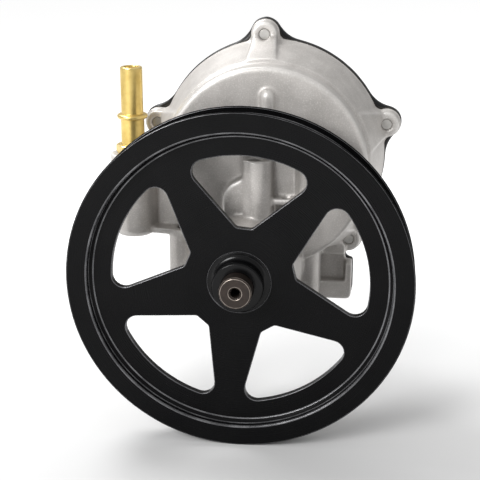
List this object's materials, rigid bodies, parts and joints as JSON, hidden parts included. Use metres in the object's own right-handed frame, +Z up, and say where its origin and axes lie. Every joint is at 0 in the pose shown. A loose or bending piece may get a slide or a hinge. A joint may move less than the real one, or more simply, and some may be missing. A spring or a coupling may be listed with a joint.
{
  "type": "supercharger",
  "caption": "Belt-driven centrifugal supercharger: ribbed spoked pulley, cast gear housing, step-up gears, impeller and rear volute.",
  "frame": {"origin": "the base mounting face, directly below the input shaft axis, in line with the left foot's bolt hole", "axes": "+Z up, away from the base face; +X to the right seen from the pulley side; +Y rearward, along the shafts, from the pulley to the air inlet"},
  "size_m": [0.18, 0.1395, 0.2166],
  "materials": {
    "cast_aluminium": "blasted sand casting",
    "machined_aluminium": "machined",
    "gasket": "matt",
    "black_casting": "satin black paint",
    "black_pulley": "satin black electrocoat",
    "dark_steel": "black oxide",
    "bright_steel": "ground",
    "shaft_steel": "hardened, brown tint",
    "gear_steel": "ground",
    "bearing_steel": "fine ground",
    "ball_steel": "polished",
    "cage_brass": "machined",
    "bronze": "machined",
    "nipple_brass": "turned",
    "seal_rubber": "matt"
  },
  "bodies": {
    "root": {"front_housing": "cast_aluminium", "divider_plate": "machined_aluminium", "volute_gasket": "gasket", "rear_volute": "black_casting", "flange_screws": "bright_steel", "divider_screws": "dark_steel", "dowel_pins": "bright_steel", "input_seal": "seal_rubber", "front_circlip": "dark_steel", "front_bearing_outer_ring": "bearing_steel", "rear_bearing_outer_ring": "bearing_steel", "idler_pin": "bright_steel", "idler_washers": "bronze", "impeller_seal": "seal_rubber", "nose_bearing_outer_ring": "bearing_steel", "tail_bearing_outer_ring": "bearing_steel", "preload_spring": "dark_steel", "hose_nipple": "nipple_brass", "nipple_o_ring": "seal_rubber"},
    "drive_line": {"pulley_wheel": "black_pulley", "pulley_hub": "black_pulley", "input_shaft": "shaft_steel", "input_gear": "gear_steel", "gear_key": "bright_steel", "input_spacer": "bright_steel", "front_bearing_inner_ring": "bearing_steel", "rear_bearing_inner_ring": "bearing_steel"},
    "idler": {"idler_gear": "gear_steel", "idler_bush": "bronze"},
    "impeller_line": {"impeller_shaft": "gear_steel", "impeller_sleeve": "bright_steel", "impeller": "machined_aluminium", "impeller_nut": "dark_steel", "nose_bearing_inner_ring": "bearing_steel", "tail_bearing_inner_ring": "bearing_steel"},
    "front_balls": {"front_bearing_balls": "ball_steel", "front_bearing_cage": "cage_brass"},
    "rear_balls": {"rear_bearing_balls": "ball_steel", "rear_bearing_cage": "cage_brass"},
    "nose_balls": {"nose_bearing_balls": "ball_steel", "nose_bearing_cage": "cage_brass"},
    "tail_balls": {"tail_bearing_balls": "ball_steel", "tail_bearing_cage": "cage_brass"}
  },
  "joints": [
    {"name": "drive_spin", "type": "hinge", "parent": "root", "child": "drive_line", "pos_m": [0, 0, 0.031], "axis": [0, 1, 0], "continuous": true},
    {"name": "idler_spin", "type": "hinge", "parent": "root", "child": "idler", "pos_m": [-0.00146, 0, 0.06697], "axis": [0, 1, 0], "continuous": true},
    {"name": "impeller_spin", "type": "hinge", "parent": "root", "child": "impeller_line", "pos_m": [0.0095, 0, 0.0837], "axis": [0, 1, 0], "continuous": true},
    {"name": "front_cage_spin", "type": "hinge", "parent": "root", "child": "front_balls", "pos_m": [0, 0, 0.031], "axis": [0, 1, 0], "continuous": true},
    {"name": "rear_cage_spin", "type": "hinge", "parent": "root", "child": "rear_balls", "pos_m": [0, 0, 0.031], "axis": [0, 1, 0], "continuous": true},
    {"name": "nose_cage_spin", "type": "hinge", "parent": "root", "child": "nose_balls", "pos_m": [0.0095, 0, 0.0837], "axis": [0, 1, 0], "continuous": true},
    {"name": "tail_cage_spin", "type": "hinge", "parent": "root", "child": "tail_balls", "pos_m": [0.0095, 0, 0.0837], "axis": [0, 1, 0], "continuous": true}
  ],
  "couplings": [
    {"joint": "idler_spin", "follows": "drive_spin", "ratio": -2},
    {"joint": "impeller_spin", "follows": "drive_spin", "ratio": 3},
    {"joint": "front_cage_spin", "follows": "drive_spin", "ratio": 0.391},
    {"joint": "rear_cage_spin", "follows": "drive_spin", "ratio": 0.391},
    {"joint": "nose_cage_spin", "follows": "drive_spin", "ratio": 1.133},
    {"joint": "tail_cage_spin", "follows": "drive_spin", "ratio": 1.133}
  ]
}
